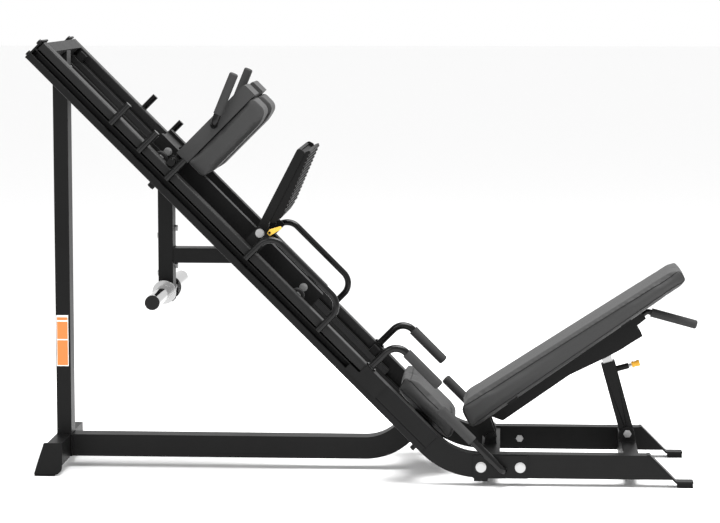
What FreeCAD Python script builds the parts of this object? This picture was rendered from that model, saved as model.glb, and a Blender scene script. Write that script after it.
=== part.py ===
"""Leg press and hack squat machine: 45-degree rails, roller carriage, seat and adjustable backrest.

Row frame: X runs from the rear post (-X) to the backrest (+X), Y across the machine, Z up.
The origin is on the floor under the middle of the machine. Near or left parts are at -Y.
The sloping members are drawn in the rail frame: x runs down the rail from its upper end, y across,
z normal to the rail with 0 at the rail's top face.
"""
import FreeCAD, Part
import math
import os
import re

Vec = FreeCAD.Vector
Place = FreeCAD.Placement
Turn = FreeCAD.Rotation
ACROSS = Vec(0, 1, 0)
BOTH = (-1, 1)
SIDES = {"left": -1, "right": 1}

doc = FreeCAD.newDocument("leg_press_hack_squat")
sheet = doc.addObject("Spreadsheet::Sheet", "dims")

DRIVING = {
    # rails
    "rail_angle": 45, "rail_top_x": -1044, "rail_top_z": 1458, "rail_length": 1828, "rail_depth": 80,
    "rail_outer_y": 300, "rail_tube_y": 250, "track_inner_y": 205, "ledge_y": 197,
    "lower_tube_deep": 24, "lip_top": 35, "lip_thick": 3, "recess_y": 262, "guard_deep": 30,
    "guard_end": 1497, "plain_rail_start": 1561, "track_drop": 34.3, "track_end": 1600, "wall": 3,
    "end_plate_thick": 6, "corner_round": 8,
    # top crossmember, rear post, base
    "top_cross_start": 8, "top_cross_long": 40, "top_cross_deep": 69, "cap_thick": 6,
    "post_left": -1062, "post_thick": 50, "post_wide": 75, "base_height": 74, "base_deep": 75,
    "foot_bar_half": 204, "base_bend": 190, "lower_cross_mid": 1768, "lower_cross_long": 80,
    "lower_cross_top": 16, "flange_thick": 6, "plate_thick": 6,
    # stabilisers and floor
    "stab_height": 66, "stab_inner_y": 245, "stab_wide": 50, "stab_bend": 240, "heel_start": 938,
    "foot_rubber": 4, "heel_rubber": 14, "heel_end": 1088,
    # pegs, guard bars, handles
    "peg_radius": 11, "peg_y": 311, "peg_foot": 34, "peg_top": 55, "peg_first": 345, "peg_pitch": 128,
    "guard_bar_start": 968, "guard_bar_end": 1302, "guard_bar_top": 84, "guard_bar_bend": 52,
    "handle_s": 1513, "handle_y": 281, "handle_radius": 12.5, "handle_top": 119, "handle_bend": 48,
    "handle_end": 1702, "grip_radius": 17, "grip_start": 1563, "grip_end": 1716,
    # carriage
    "side_inner_y": 92, "side_outer_y": 132, "side_start": 477, "side_end": 1237, "side_top": 38,
    "side_bottom": 20, "arm_seat": 40, "roller_radius": 24.3, "roller_height": -10,
    "roller_inner_y": 212, "roller_wide": 29, "upper_roller": 536, "lower_roller": 1175,
    "axle_radius": 8, "running_gap": 0.05, "bracket_y": 244, "bracket_thick": 5,
    # weight post
    "weight_post_left": -708, "weight_post_bottom": 572, "weight_arm_bottom": 704, "horn_x": -684,
    "horn_z": 608, "sleeve_radius": 24.5, "sleeve_end": 359, "sleeve_flange": 40, "flange_y": 68,
    "cap_long": 8,
    # shoulder pads and hack handles
    "pad_inner_y": 65, "pad_wide": 140, "board_start": 560, "board_thick": 49, "board_top": 358, "pad_thick": 72,
    "pad_top": 348, "hack_tube": 12.5, "hack_s": 584, "hack_n": 192, "hack_y": 235, "hack_grip": 15,
    # foot plate
    "foot_pivot_s": 943, "foot_pivot_n": 51, "foot_lean": 27.3, "arm_outer_y": 210, "arm_thick": 14,
    "foot_plate_long": 304,
    # seat and backrest
    "seat_half": 150, "seat_base": 8, "hinge_x": 420, "hinge_z": 124, "back_x": 351, "back_z": 162,
    "back_angle": 35.4, "back_half": 132, "strut_foot_x": 882, "strut_foot_z": 132,
    "strut_head_x": 800, "strut_head_z": 425, "strut_half": 24, "strut_inner_half": 17,
    "strut_top": 250, "strut_bore_half": 17.8, "pin_height": 219,
}
for row, (alias, number) in enumerate(DRIVING.items(), start=1):
    sheet.set("A%d" % row, alias)
    sheet.set("B%d" % row, str(number))
    sheet.setAlias("B%d" % row, alias)
doc.recompute()

WORD = re.compile(r"[a-z][a-z_]*")
made = {}


def formula(text):
    """Sheet formula for a size written with the plain aliases."""
    return WORD.sub(lambda word: "dims." + word.group(), str(text))


def value(text):
    """Number that a size formula gives."""
    return float(sheet.evalExpression(formula(text)))


def bind(thing, prop, text):
    thing.setExpression(prop, formula(text))


# ---- frames -------------------------------------------------------------------------------------

FLOOR = Place()
RAIL = Place(Vec(value("rail_top_x"), 0, value("rail_top_z")), Turn(ACROSS, value("rail_angle")))


def on_rail(s, n):
    """Row-frame x and z of a point of the rail frame."""
    point = RAIL.multVec(Vec(s, 0, n))
    return point.x, point.z


FOOT_PIVOT = on_rail(value("foot_pivot_s"), value("foot_pivot_n"))
FOOT = Place(Vec(FOOT_PIVOT[0], 0, FOOT_PIVOT[1]), Turn(ACROSS, value("foot_lean")))
BACK = Place(Vec(value("back_x"), 0, value("back_z")), Turn(ACROSS, -value("back_angle")))
STRUT_RUN = (value("strut_head_x - strut_foot_x"), value("strut_head_z - strut_foot_z"))
STRUT_LONG = math.hypot(*STRUT_RUN)
STRUT_LEAN = math.degrees(math.atan2(STRUT_RUN[0], STRUT_RUN[1]))
STRUT = Place(Vec(value("strut_foot_x"), 0, value("strut_foot_z")), Turn(ACROSS, STRUT_LEAN))


# ---- building blocks ----------------------------------------------------------------------------

def rounded_edges(points, closed):
    """Straight runs through the points, joined by tangent arcs where a point carries a radius."""
    count = len(points)
    spots = [Vec(*point[:3]) for point in points]
    radii = [point[3] if len(point) > 3 else 0 for point in points]
    entries, exits, middles = [], [], []
    for i, spot in enumerate(spots):
        if radii[i] == 0:
            entries.append(spot)
            exits.append(spot)
            middles.append(None)
            continue
        back = (spots[i - 1] - spot).normalize()
        ahead = (spots[(i + 1) % count] - spot).normalize()
        half = back.getAngle(ahead) / 2
        reach = radii[i] / math.tan(half)
        bisector = (back + ahead).normalize()
        entries.append(spot + back * reach)
        exits.append(spot + ahead * reach)
        middles.append(spot + bisector * (radii[i] / math.sin(half) - radii[i]))
    edges = []
    for i in range(count):
        if middles[i] is not None:
            edges.append(Part.Arc(entries[i], middles[i], exits[i]))
        if i + 1 < count or closed:
            ahead = entries[(i + 1) % count]
            if exits[i].distanceToPoint(ahead) > 1e-6:
                edges.append(Part.LineSegment(exits[i], ahead))
    return edges


def padded(name, plane, outlines, length, symmetric):
    """Body with one sketch of closed outlines on an origin plane, padded to a bound length."""
    body = doc.addObject("PartDesign::Body", name)
    base = [feature for feature in body.Origin.OriginFeatures if feature.Role == plane][0]
    sketch = body.newObject("Sketcher::SketchObject", name + "_sketch")
    sketch.AttachmentSupport = [(base, "")]
    sketch.MapMode = "FlatFace"
    for outline in outlines:
        flat = [(point[0], point[1], 0) + tuple(point[2:3]) for point in outline]
        for edge in rounded_edges(flat, True):
            sketch.addGeometry(edge, False)
    pad = body.newObject("PartDesign::Pad", name + "_pad")
    pad.Profile = sketch
    bind(pad, "Length", length)
    if symmetric:
        pad.SideType = "Symmetric"
    sketch.Visibility = False
    return body


def moved(thing, place):
    thing.Placement = place.multiply(thing.Placement)
    return thing


def shift(x=0, y=0, z=0):
    return Place(Vec(x, y, z), Turn())


def plate(name, outline, width, y=0, frame=FLOOR, holes=()):
    """Plate whose outline is in x and z, centred on y."""
    return moved(padded(name, "XZ_Plane", (outline,) + tuple(holes), width, True), frame * shift(y=y))


def bar(name, outlines, length, x=0, frame=FLOOR):
    """Bar whose section is in y and z, running along +x from x."""
    return moved(padded(name, "YZ_Plane", outlines, length, False), frame * shift(x=x))


def box(name, low, high, frame=FLOOR):
    """Box between two corners, each corner coordinate a size formula or a number."""
    thing = doc.addObject("Part::Box", name)
    for prop, start, end in zip(("Length", "Width", "Height"), low, high):
        bind(thing, prop, "%s - (%s)" % (end, start))
    thing.Placement = frame * shift(*[value(start) for start in low])
    return thing


def box_tube(name, low, high, axis, frame=FLOOR):
    """Rectangular tube between two corners, open along the named axis."""
    walls = [0 if letter == axis else 1 for letter in "xyz"]
    inner_low = ["%s + %d * wall" % (start, wall) for start, wall in zip(low, walls)]
    inner_high = ["%s - %d * wall" % (end, wall) for end, wall in zip(high, walls)]
    outer = box(name + "_outer", low, high)
    inner = box(name + "_inner", inner_low, inner_high)
    return moved(cut(name, outer, [inner]), frame)


def rod(name, radius, length, start, direction, frame=FLOOR):
    """Round rod from a start point along a direction."""
    thing = doc.addObject("Part::Cylinder", name)
    bind(thing, "Radius", radius)
    bind(thing, "Height", length)
    thing.Placement = frame * Place(Vec(*start), Turn(Vec(0, 0, 1), Vec(*direction)))
    return thing


def cross_rod(name, radius, x, z, y_from, y_to, frame=FLOOR):
    """Round rod along y between two y values."""
    return rod(name, radius, abs(y_to - y_from), (x, min(y_from, y_to), z), (0, 1, 0), frame)


def hexagon(name, radius, length, start, direction, frame=FLOOR):
    """Hexagon head standing on a face."""
    thing = doc.addObject("Part::Prism", name)
    thing.Polygon = 6
    bind(thing, "Circumradius", radius)
    bind(thing, "Height", length)
    thing.Placement = frame * Place(Vec(*start), Turn(Vec(0, 0, 1), Vec(*direction)))
    return thing


def bent_rod(name, points, radius, frame=FLOOR):
    """Round bar swept along straight runs and tangent arcs."""
    spine = doc.addObject("Part::Feature", name + "_path")
    spine.Shape = Part.Wire([edge.toShape() for edge in rounded_edges(points, False)])
    first = Vec(*points[0][:3])
    ring = doc.addObject("Part::Circle", name + "_ring")
    bind(ring, "Radius", radius)
    ring.Placement = Place(first, Turn(Vec(0, 0, 1), Vec(*points[1][:3]) - first))
    sweep = doc.addObject("Part::Sweep", name)
    sweep.Sections = [ring]
    sweep.Spine = (spine, [])
    sweep.Solid = True
    sweep.Frenet = False
    return moved(sweep, frame)


def cut(name, base, tools):
    if len(tools) == 1:
        tool = tools[0]
    else:
        tool = group(name + "_tools", tools)
    thing = doc.addObject("Part::Cut", name)
    thing.Base = base
    thing.Tool = tool
    return thing


def fuse(name, things, frame=FLOOR):
    thing = doc.addObject("Part::MultiFuse", name)
    thing.Shapes = things
    return moved(thing, frame)


def group(name, things, frame=FLOOR):
    """Identical or mirrored pieces kept as separate solids in one node."""
    thing = doc.addObject("Part::Compound", name)
    thing.Links = things
    return moved(thing, frame)


def node(name, thing):
    """Name a finished sub-part; its label is its file name."""
    thing.Label = name
    made[name] = thing


def mirrored_pair(name, build, frame=FLOOR):
    """The same piece on both sides, kept as separate solids."""
    node(name, group(name + "_pair", [build(side) for side in BOTH], frame))


# ---- rails --------------------------------------------------------------------------------------

def rail_section(side):
    """Channel open outwards, on a deep lower tube that carries the roller track."""
    outer, recess, inner = value("rail_outer_y"), value("recess_y"), value("rail_tube_y")
    ledge, bottom = value("ledge_y"), -value("rail_depth")
    floor = value("lower_tube_deep - rail_depth")
    lip, lip_low = -value("lip_top"), -value("lip_top + lip_thick")
    top = -value("guard_deep")
    skin = value("wall")
    outline = [(ledge, bottom, 4), (outer, bottom, 5), (outer, floor, 3), (recess, floor), (recess, lip_low),
               (outer, lip_low), (outer, lip), (recess, lip), (recess, top), (inner, top), (inner, floor),
               (ledge, floor, 3)]
    hollow = [(ledge + skin, bottom + skin), (outer - skin, bottom + skin), (outer - skin, floor - skin),
              (ledge + skin, floor - skin)]
    return [[(side * point[0],) + tuple(point[1:]) for point in loop] for loop in (outline, hollow)]


def frame_rail(side):
    name = "rail_%s" % ("left" if side < 0 else "right")
    long_bar = bar(name + "_channel", rail_section(side), "rail_length")
    edges = sorted((side * value("rail_tube_y"), side * value("rail_outer_y")))
    plain = box(name + "_plain", ("plain_rail_start", edges[0], "lower_tube_deep - rail_depth"),
                ("rail_length", edges[1], 0))
    return fuse(name + "_steel", [long_bar, plain], RAIL)


def guard_tube(side):
    inner, outer = value("rail_tube_y"), value("rail_outer_y")
    deep, skin, soft = value("guard_deep"), value("wall"), value("corner_round")
    outline = [(inner, -deep, 3), (outer, -deep, 4), (outer, 0, soft), (inner, 0, 3)]
    hollow = [(inner + skin, -deep + skin), (outer - skin, -deep + skin), (outer - skin, -soft),
              (outer - soft, -skin), (inner + skin, -skin)]
    loops = [[(side * point[0],) + tuple(point[1:]) for point in loop] for loop in (outline, hollow)]
    start = value("end_plate_thick")
    return bar("guard_%d" % side, loops, "guard_end - end_plate_thick", start, RAIL)


def roller_track(side):
    low, high = sorted((side * value("track_inner_y"), side * value("rail_tube_y")))
    bottom = "lower_tube_deep - rail_depth"
    return box_tube("track_%d" % side, ("top_cross_start + 4", low, bottom),
                    ("track_end", high, "0 - track_drop"), "x", RAIL)


def rail_end_plate(side):
    low, high = sorted((side * value("ledge_y"), side * value("rail_outer_y")))
    name = "end_%d" % side
    sheet_metal = box(name, ("0 - end_plate_thick", low, "0 - rail_depth"), (0, high, 0))
    bolts = []
    for drop in (15, 66):
        bolts.append(hexagon("%s_bolt_%d" % (name, drop), 10, 8,
                             (-value("end_plate_thick"), side * 275, -drop), (-1, 0, 0)))
    bolts.append(hexagon(name + "_under", 12, 15, (581, side * 275, -value("rail_depth")), (0, 0, -1)))
    bolts.append(hexagon(name + "_seam", 9, 16, (1800, side * 275, -value("rail_depth")), (0, 0, -1)))
    return group(name + "_set", [sheet_metal] + bolts)


for word, side in SIDES.items():
    node(word + "_frame_rail", frame_rail(side))
    node(word + "_guard_tube", guard_tube(side))
mirrored_pair("roller_tracks", roller_track)
mirrored_pair("rail_end_plates", rail_end_plate, RAIL)


# ---- crossmembers, post and base ----------------------------------------------------------------

def top_crossmember():
    ledge = value("ledge_y")
    tube = box_tube("top_tube", ("top_cross_start", -ledge, "0 - cap_thick - top_cross_deep"),
                    ("top_cross_start + top_cross_long", ledge, "0 - cap_thick"), "y")
    reach = value("rail_tube_y")
    cap = box("top_cap", ("top_cross_start", -reach, "0 - cap_thick"),
              ("top_cross_start + top_cross_long", reach, 0))
    return fuse("top_cross_steel", [tube, cap], RAIL)


def post_top(x, inset):
    """Height where the post's top meets the crossmember's lower face."""
    face = value("top_cross_start + top_cross_long") + inset
    return value("rail_top_z - rail_top_x") + x - face * math.sqrt(2)


def rear_post():
    left, thick = value("post_left"), value("post_thick")
    bottom, skin = value("base_height + base_deep / 2"), value("wall")
    right = left + thick
    outline = [(left, bottom), (right, bottom), (right, post_top(right, 0)), (left, post_top(left, 0))]
    hollow = [(left + skin, bottom), (right - skin, bottom), (right - skin, post_top(right - skin, 0)),
              (left + skin, post_top(left + skin, 0))]
    outer = plate("post_outer", outline, "post_wide")
    inner = plate("post_inner", hollow, "post_wide - 2 * wall")
    return cut("post_steel", outer, [inner])


def post_foot():
    left = value("post_left") - 3
    low, high = value("base_height - base_deep / 2"), value("base_height + base_deep / 2")
    reach, tread = value("foot_bar_half"), value("foot_rubber")
    right = left + value("post_thick")
    cross = box_tube("foot_bar", (left, -reach, low), (right, reach, high), "y")
    outline = [(left - 47, tread, 3), (right - 17, tread, 6), (right - 3, 18, 4), (right, 44), (right, high),
               (left - 12, high, 4)]
    ends = [plate("foot_end_%d" % side, outline, "plate_thick", side * (reach + 3)) for side in BOTH]
    return fuse("post_foot_steel", [cross] + ends)


def base_outline(inset):
    """Side view of the base tube: along the floor, then up at right angles to the rails."""
    half = value("base_deep / 2") - inset
    middle, bend = value("lower_cross_mid"), value("base_bend")
    flange = value("post_left + post_thick - 3 + flange_thick")
    height, meet = value("base_height"), -value("rail_depth") + 5
    outline = []
    for way in (-1, 1):
        level = height + way * half
        s = middle - way * half
        n = (level - value("rail_top_z")) * math.sqrt(2) + s
        corner = on_rail(s, n)
        tip = on_rail(s, meet)
        outline.append([(flange, level), (corner[0], corner[1], bend - way * half), tip])
    return outline[0] + outline[1][::-1]


def base_tube():
    outer = plate("base_outer", base_outline(0), "base_deep")
    inner = plate("base_inner", base_outline(value("wall")), "base_deep - 2 * wall")
    tube = cut("base_pipe", outer, [inner])
    low, high = value("base_height - base_deep / 2"), value("base_height + base_deep / 2")
    end = value("post_left + post_thick - 3")
    flange = box("base_flange", (end, -46, low), ("%s + flange_thick" % end, 46, high))
    return fuse("base_steel", [tube, flange])


def lower_crossmember():
    ledge = value("ledge_y")
    start = "lower_cross_mid - lower_cross_long / 2"
    return box_tube("lower_tube", (start, -ledge, "5 - rail_depth"),
                    (start + " + lower_cross_long", ledge, "0 - lower_cross_top"), "y", RAIL)


node("top_crossmember", top_crossmember())
node("rear_post", rear_post())
node("post_foot", post_foot())
node("base_tube", base_tube())
node("lower_crossmember", lower_crossmember())


# ---- stabilisers, splice plates and heels -------------------------------------------------------

def stabiliser_outline(inset):
    """Elbow from the rail's low end to the floor tube, cut at 45 degrees at the heel."""
    seam, height = value("rail_length"), value("stab_height")
    half = value("rail_depth / 2")
    bend, heel = value("stab_bend"), value("heel_start")
    slope = heel + height + half
    paths = []
    for way in (-1, 1):
        level = height + way * (half - inset)
        n = -half + way * (half - inset)
        s = n - (level - value("rail_top_z")) * math.sqrt(2)
        corner = on_rail(s, n)
        start = on_rail(seam - inset, n)
        paths.append([start, (corner[0], corner[1], bend - way * (half - inset)),
                      (slope - level - inset * math.sqrt(2), level)])
    return paths[0] + paths[1][::-1]


def stabiliser(side):
    y = side * value("stab_inner_y + stab_wide / 2")
    outer = plate("stab_outer_%d" % side, stabiliser_outline(0), "stab_wide", y)
    inner = plate("stab_inner_%d" % side, stabiliser_outline(value("wall")), "stab_wide - 2 * wall", y)
    return cut("stab_steel_%d" % side, outer, [inner])


def splice_plate(side):
    outline = [(365, 26), (368, 26), (368, 16, 2), (414, 16, 2), (414, 26), (544, 26), (544, 102, 3),
               (365, 102, 3)]
    y = side * (value("stab_inner_y + stab_wide + plate_thick / 2"))
    return plate("splice_%d" % side, outline, "plate_thick", y)


def heel_plate(side):
    top, toe = value("stab_height + rail_depth / 2 + 2"), value("heel_rubber")
    slope = value("heel_start + stab_height + rail_depth / 2")
    skin, end = value("plate_thick"), value("heel_end")
    outer = slope + skin * math.sqrt(2)
    outline = [(slope - top, top), (outer - top, top), (outer - toe - skin, toe + skin, 6),
               (end, toe + skin, 2), (end, toe), (slope - toe, toe)]
    y = side * value("stab_inner_y + stab_wide / 2")
    return plate("heel_%d" % side, outline, "stab_wide", y)


for word, side in SIDES.items():
    node(word + "_stabiliser", stabiliser(side))
mirrored_pair("splice_plates", splice_plate)
mirrored_pair("heel_plates", heel_plate)


def rubber_feet():
    feet = []
    left, toe = value("post_left - 50"), value("heel_end")
    for side in BOTH:
        y = sorted((side * 198, side * 214))
        feet.append(box("post_rubber_%d" % side, (left + 3, y[0], 0), (left + 72, y[1], "foot_rubber")))
        y = sorted((side * value("stab_inner_y"), side * value("stab_inner_y + stab_wide")))
        feet.append(box("heel_rubber_%d" % side, (toe - 52, y[0], 0), (toe - 2, y[1], "heel_rubber")))
    return group("rubber_set", feet)


def rail_bumpers():
    bumpers = []
    low, high = value("roller_inner_y"), value("roller_inner_y + roller_wide")
    for side in BOTH:
        y = sorted((side * low, side * high))
        for start in (58, 1500):
            bumpers.append(box("bumper_%d_%d" % (side + 1, start), (start, y[0], "0 - track_drop"),
                               (start + 28, y[1], -6)))
    return group("bumper_set", bumpers, RAIL)


node("rubber_feet", rubber_feet())
node("rail_bumpers", rail_bumpers())


# ---- pegs, guard bars and handles on the rails --------------------------------------------------

def stop_pegs():
    pegs = []
    for side in BOTH:
        for count in range(3):
            s = value("peg_first") + count * value("peg_pitch")
            pegs.append(rod("peg_%d_%d" % (side + 1, count), "peg_radius", "peg_foot + peg_top",
                            (s, side * value("peg_y"), -value("peg_foot")), (0, 0, 1)))
    return group("peg_set", pegs, RAIL)


def guard_bar(side):
    y, foot, bend = side * value("peg_y"), -value("peg_foot"), value("guard_bar_bend")
    start, end, top = value("guard_bar_start"), value("guard_bar_end"), value("guard_bar_top")
    points = [(start, y, foot), (start, y, top, bend), (end, y, top, bend), (end, y, foot)]
    return bent_rod("guard_bar_%d" % side, points, "peg_radius")


def handle_bearing(side):
    end = value("guard_end")
    outline = [(1455, -60, 4), (1594, -60, 3), (1594, 0), (end, 0), (end, -35), (1455, -35, 4)]
    name = "bearing_%d" % side
    cover = plate(name + "_cover", outline, "plate_thick", side * (value("rail_outer_y") + 3))
    y = sorted((side * value("rail_tube_y"), side * value("rail_outer_y")))
    block = box(name + "_block", ("guard_end", y[0], "0 - guard_deep"), (1560, y[1], 0))
    hole = rod(name + "_hole", "handle_radius + running_gap", 60,
               (value("handle_s"), side * value("handle_y"), -40), (0, 0, 1))
    return fuse(name + "_steel", [cover, cut(name + "_bored", block, [hole])])


node("stop_pegs", stop_pegs())
mirrored_pair("guard_bars", guard_bar, RAIL)
mirrored_pair("handle_bearings", handle_bearing, RAIL)


def lockout_handle(side):
    s, y, top = value("handle_s"), side * value("handle_y"), value("handle_top")
    name = "lockout_%d" % side
    points = [(s, y, -26), (s, y, top, value("handle_bend")), (value("handle_end"), y, top)]
    collar = rod(name + "_collar", 19, 6, (s, y, 0.4), (0, 0, 1))
    return fuse(name + "_steel", [bent_rod(name + "_bar", points, "handle_radius"), collar], RAIL)


def sleeve_grip(name, start, end, inner_end, outer, inner, frame=FLOOR):
    """Rubber sleeve closed at its far end over a straight bar."""
    run = Vec(*end) - Vec(*start)
    depth = (Vec(*inner_end) - Vec(*start)).Length
    skin = rod(name + "_skin", outer, run.Length, start, tuple(run))
    core = rod(name + "_core", inner, depth, start, tuple(run))
    round_end = doc.addObject("Part::Fillet", name + "_round")
    round_end.Base = skin
    doc.recompute()
    soft = 0.45 * value(outer)
    far = Vec(*end)
    rim = [i for i, edge in enumerate(skin.Shape.Edges, start=1)
           if edge.Closed and edge.CenterOfMass.distanceToPoint(far) < 1]
    round_end.Edges = [(i, soft, soft) for i in rim]
    return moved(cut(name, round_end, [core]), frame)


def lockout_grip(side):
    y, top = side * value("handle_y"), value("handle_top")
    return sleeve_grip("lockout_grip_%d" % side, (value("grip_start"), y, top), (value("grip_end"), y, top),
                       (value("handle_end"), y, top), "grip_radius", "handle_radius", RAIL)


for word, side in SIDES.items():
    node(word + "_lockout_handle", lockout_handle(side))
    node(word + "_lockout_grip", lockout_grip(side))

SEAT_HANDLE_FOOT = (464, 55)
SEAT_HANDLE_TOP = (262, 255)
SEAT_HANDLE_Y = 328


def seat_handle(side):
    face = side * value("stab_inner_y + stab_wide + plate_thick")
    y = side * SEAT_HANDLE_Y
    points = [(SEAT_HANDLE_FOOT[0], face, SEAT_HANDLE_FOOT[1]), (SEAT_HANDLE_FOOT[0], y, SEAT_HANDLE_FOOT[1], 14),
              (SEAT_HANDLE_TOP[0], y, SEAT_HANDLE_TOP[1])]
    return bent_rod("seat_handle_%d" % side, points, "handle_radius")


def seat_grip(side):
    y = side * SEAT_HANDLE_Y
    run = Vec(SEAT_HANDLE_TOP[0] - SEAT_HANDLE_FOOT[0], 0, SEAT_HANDLE_TOP[1] - SEAT_HANDLE_FOOT[1]).normalize()
    top = Vec(SEAT_HANDLE_TOP[0], y, SEAT_HANDLE_TOP[1])
    start = top - run * 142
    tip = top + run * 8
    return sleeve_grip("seat_grip_%d" % side, tuple(start), tuple(tip), tuple(top), "grip_radius",
                       "handle_radius")


mirrored_pair("seat_handles", seat_handle)
mirrored_pair("seat_handle_grips", seat_grip)


# ---- carriage -----------------------------------------------------------------------------------

def side_member(side):
    start, end, top = value("side_start"), value("side_end"), value("side_top")
    bottom = -value("side_bottom")
    outline = [(start, bottom, 4), (end, bottom, 6), (end, top, 4), (start, top, 4)]
    y = side * value("(side_inner_y + side_outer_y) / 2")
    return plate("side_member_%d" % side, outline, "side_outer_y - side_inner_y", y)


def carriage_frame():
    inner = value("side_inner_y")
    steel = [side_member(side) for side in BOTH]
    steel.append(box_tube("cross_top", (479, -inner, 6), (545, inner, 28), "y"))
    steel.append(box_tube("cross_pads", (556, -inner, 6), (606, inner, "side_top"), "y"))
    steel.append(box_tube("cross_arm", (950, -inner, "0 - arm_seat"), (1032, inner, -8), "y"))
    steel.append(cross_rod("cross_round", 20, 1034, -14, -inner, inner))
    steel.append(box_tube("cross_low", (1190, -inner, -38), (1230, inner, 2), "y"))
    reach = value("pad_inner_y")
    for side in BOTH:
        y = side * (value("side_outer_y") - 3)
        outline = [(921, 36), (965, 36), (961, 66, 12), (925, 66, 12)]
        steel.append(plate("hinge_ear_%d" % side, outline, "plate_thick", y))
    upright = box_tube("pad_upright", (561, -reach, "side_top"), (607, reach, 330), "z")
    bore = cross_rod("upright_bore", "hack_tube + running_gap", value("hack_s"), value("hack_n"),
                     -reach - 5, reach + 5)
    steel.append(cut("upright_bored", upright, [bore]))
    return fuse("carriage_steel", steel, RAIL)


LOCK_PIN = (574, 15.2)


def roller_bracket(side):
    """Outer plates of the lock pin and of the foot plate hinge, with the blocks that carry them."""
    plate_y = side * value("bracket_y + bracket_thick / 2")
    name = "bracket_%d" % side
    y = sorted((side * value("side_outer_y"), side * value("bracket_y")))
    pieces = []
    outlines = {
        "pin": [(557, -6), (592, -6, 6), (592, 30, 6), (557, 32, 6)],
        "hinge": [(924, -12), (984, -12), (984, 66, 3), (924, 66, 3)],
    }
    for word, outline in outlines.items():
        pieces.append(plate("%s_%s" % (name, word), outline, "bracket_thick", plate_y))
    pieces.append(box(name + "_block_pin", (563, y[0], -6), (590, y[1], 28)))
    pieces.append(box(name + "_block_hinge", (930, y[0], -12), (957, y[1], 4)))
    face = side * value("bracket_y + bracket_thick")
    pieces.append(cross_rod(name + "_boss", 14.6, *LOCK_PIN, face, face + side * 24))
    steel = fuse(name + "_steel", pieces)
    holes = [cross_rod(name + "_bore_hinge", "axle_radius", value("foot_pivot_s"), value("foot_pivot_n"),
                       side * 180, side * 300),
             cross_rod(name + "_bore_pin", "handle_radius + running_gap", *LOCK_PIN, face - side * 4,
                       face + side * 30)]
    return moved(cut(name, steel, holes), RAIL)


def carriage_bolts():
    """Roller axles, foot plate hinge pins, side bolts and the weight post's bolts."""
    bolts = []
    height, root = value("roller_height"), value("side_outer_y")
    face = value("bracket_y + bracket_thick")
    spans = (("upper", value("upper_roller"), height, face - 5), ("lower", value("lower_roller"), height, face - 5),
             ("hinge", value("foot_pivot_s"), value("foot_pivot_n"), face))
    for side in BOTH:
        for word, s, n, end in spans:
            name = "axle_%d_%s" % (side + 1, word)
            shaft = cross_rod(name + "_shaft", "axle_radius", s, n, side * root, side * end)
            head = hexagon(name + "_head", 14, 6, (s, side * end, n), (0, side, 0))
            bolts.append(fuse(name, [shaft, head], RAIL))
        for s, n in ((534, 10), (1174, 10)):
            bolts.append(hexagon("side_bolt_%d_%d" % (side + 1, s), 11, 8, (s, side * root, n), (0, side, 0),
                                 RAIL))
    left, right = value("weight_post_left"), value("weight_post_left + post_thick")
    for height in (793, 665):
        bolts.append(hexagon("post_bolt_%d" % height, 10, 7, (left, 0, height), (-1, 0, 0)))
        bolts.append(hexagon("post_nut_%d" % height, 10, 9, (right, 26, height + 24), (1, 0, 0)))
    return group("carriage_bolt_set", bolts)


def track_wiper(side):
    y = sorted((side * 203, side * 209))
    return box("wiper_%d" % side, (420, y[0], 1.5), (518, y[1], 6))


def roller(side, s):
    name = "roller_%d_%d" % (side + 1, s)
    inner, height = value("roller_inner_y"), value("roller_height")
    y = (side * inner, side * (inner + value("roller_wide")))
    tyre = cross_rod(name + "_tyre", "roller_radius - 0.3", s, height, *y)
    soft = doc.addObject("Part::Chamfer", name + "_edge")
    soft.Base = tyre
    doc.recompute()
    rims = [i for i, edge in enumerate(tyre.Shape.Edges, start=1) if edge.Closed and edge.Length > 100]
    soft.Edges = [(i, 2.5, 2.5) for i in rims]
    hole = cross_rod(name + "_hole", "axle_radius + running_gap", s, height, y[0] - side * 5, y[1] + side * 5)
    return moved(cut(name, soft, [hole]), RAIL)


node("carriage_frame", carriage_frame())
mirrored_pair("roller_brackets", roller_bracket)
node("carriage_bolts", carriage_bolts())
mirrored_pair("track_wipers", track_wiper, RAIL)
for word, side in SIDES.items():
    node(word + "_upper_roller", roller(side, value("upper_roller")))
    node(word + "_lower_roller", roller(side, value("lower_roller")))


def on_normal(x, n):
    """Height at which a plumb line at x meets the plane n of the rail frame."""
    return value("rail_top_z") + n * math.sqrt(2) - (x - value("rail_top_x"))


def weight_post():
    left, right = value("weight_post_left"), value("weight_post_left + post_thick")
    bottom, skin = value("weight_post_bottom"), value("wall")
    outline = [(left, bottom, 3), (right, bottom, 3), (right, on_normal(right, 6)), (left, on_normal(left, 6))]
    hollow = [(left + skin, bottom + skin), (right - skin, bottom + skin),
              (right - skin, on_normal(right - skin, 6)), (left + skin, on_normal(left + skin, 6))]
    outer = plate("weight_outer", outline, "post_wide")
    inner = plate("weight_inner", hollow, "post_wide - 2 * wall")
    return cut("weight_post_steel", outer, [inner])


def weight_arm():
    left = value("weight_post_left + post_thick")
    low, skin = value("weight_arm_bottom"), value("wall")
    high = low + value("post_thick")
    deep = -value("arm_seat")
    outline = [(left, low), (on_normal(0, deep) - low, low), (on_normal(0, deep) - high, high), (left, high)]
    hollow = [(left, low + skin), (on_normal(0, deep) - low - skin, low + skin),
              (on_normal(0, deep) - high + skin, high - skin), (left, high - skin)]
    outer = plate("arm_outer", outline, "post_wide")
    inner = plate("arm_inner", hollow, "post_wide - 2 * wall")
    return cut("weight_arm_steel", outer, [inner])


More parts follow.
